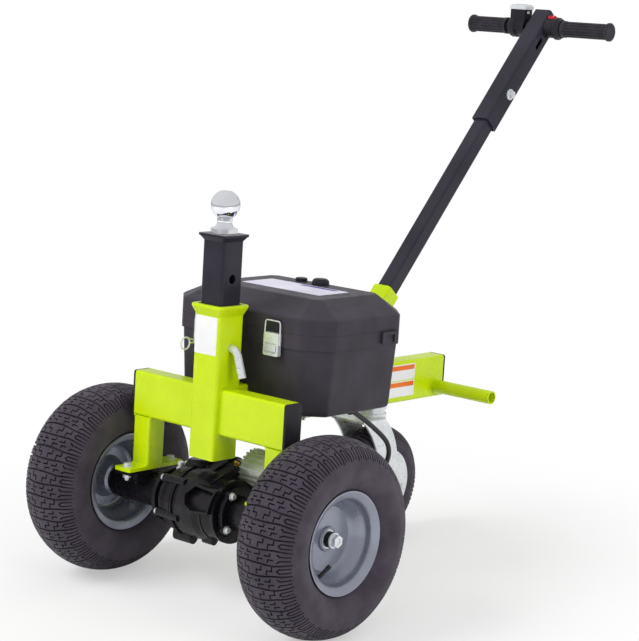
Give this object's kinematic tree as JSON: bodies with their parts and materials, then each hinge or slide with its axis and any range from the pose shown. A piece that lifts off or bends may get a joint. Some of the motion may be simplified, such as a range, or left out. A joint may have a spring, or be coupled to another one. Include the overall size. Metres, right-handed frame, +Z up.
{
  "type": "electric trailer dolly",
  "caption": "Powered two-wheel trailer mover with a ball post in front, a battery box on a central beam, a swivel caster and a raked tow handle.",
  "frame": {"origin": "bottom centre of the bounding box, on the floor that the two drive wheels and the caster stand on", "axes": "+X to the right wheel, +Y to the rear where the handle is, +Z up"},
  "size_m": [0.645, 1.1652, 0.9845],
  "materials": {
    "lime_powder_coat": "gloss powder coat",
    "black_powder_coat": "satin powder coat",
    "black_casting": "satin paint on cast metal",
    "rim_enamel": "gloss enamel",
    "zinc_plate": "bright zinc plating",
    "chrome_plate": "polished",
    "cast_aluminium": "as cast",
    "tyre_rubber": "matt",
    "box_plastic": "fine moulded grain",
    "black_plastic": "moulded",
    "battery_case": "moulded",
    "grip_rubber": "ribbed",
    "cable_jacket": "smooth",
    "red_plastic": "gloss",
    "pale_plastic": "gloss"
  },
  "bodies": {
    "chassis": {"receiver_sleeve": "lime_powder_coat", "cross_tube": "lime_powder_coat", "cross_tube_caps": "black_plastic", "frame_legs": "lime_powder_coat", "foot_plates": "lime_powder_coat", "axle_saddles": "black_casting", "main_beam": "lime_powder_coat", "beam_end_cap": "black_plastic", "step_tubes": "lime_powder_coat", "box_brackets": "lime_powder_coat", "ball_post": "black_powder_coat", "hitch_ball": "chrome_plate", "hitch_pin": "zinc_plate", "pin_clip": "zinc_plate", "transaxle_housing": "black_casting", "axle_tubes": "black_casting", "motor_can": "cast_aluminium", "motor_cover": "black_plastic", "handle_socket": "lime_powder_coat", "pole_lower": "black_powder_coat", "pole_upper": "black_powder_coat", "pole_bolt": "zinc_plate", "handlebar": "black_powder_coat", "grip_left": "grip_rubber", "grip_right": "grip_rubber", "throttle_housing": "black_plastic", "rocker_switch": "red_plastic", "gauge_body": "black_plastic", "gauge_cap": "pale_plastic", "battery_box": "box_plastic", "hinge_pins": "zinc_plate", "batteries": "battery_case", "latches": "zinc_plate", "cable_gland": "black_plastic", "motor_cable": "cable_jacket", "caster_plate": "zinc_plate"},
    "lid": {"box_lid": "box_plastic", "lid_knobs": "black_plastic"},
    "caster_swivel": {"caster_fork": "zinc_plate", "caster_axle": "zinc_plate"},
    "caster_wheel": {"caster_tyre": "tyre_rubber", "caster_rim": "rim_enamel"},
    "wheel_left": {"tyre_left": "tyre_rubber", "rim_left": "rim_enamel", "hub_left": "zinc_plate"},
    "wheel_right": {"tyre_right": "tyre_rubber", "rim_right": "rim_enamel", "hub_right": "zinc_plate"}
  },
  "joints": [
    {"name": "wheel_left_spin", "type": "hinge", "parent": "chassis", "child": "wheel_left", "pos_m": [-0.259, -0.41058, 0.172], "axis": [1, 0, 0], "continuous": true},
    {"name": "wheel_right_spin", "type": "hinge", "parent": "chassis", "child": "wheel_right", "pos_m": [0.259, -0.41058, 0.172], "axis": [1, 0, 0], "continuous": true},
    {"name": "caster_turn", "type": "hinge", "parent": "chassis", "child": "caster_swivel", "pos_m": [0, 0.02327, 0.24023], "axis": [0, 0.0923, 0.9957], "continuous": true},
    {"name": "caster_wheel_spin", "type": "hinge", "parent": "caster_swivel", "child": "caster_wheel", "pos_m": [0, 0.02736, 0.111], "axis": [1, 0, 0], "continuous": true},
    {"name": "lid_hinge", "type": "hinge", "parent": "chassis", "child": "lid", "pos_m": [0, -0.06981, 0.46026], "axis": [-1, 0, 0], "range_deg": [0, 100]}
  ]
}
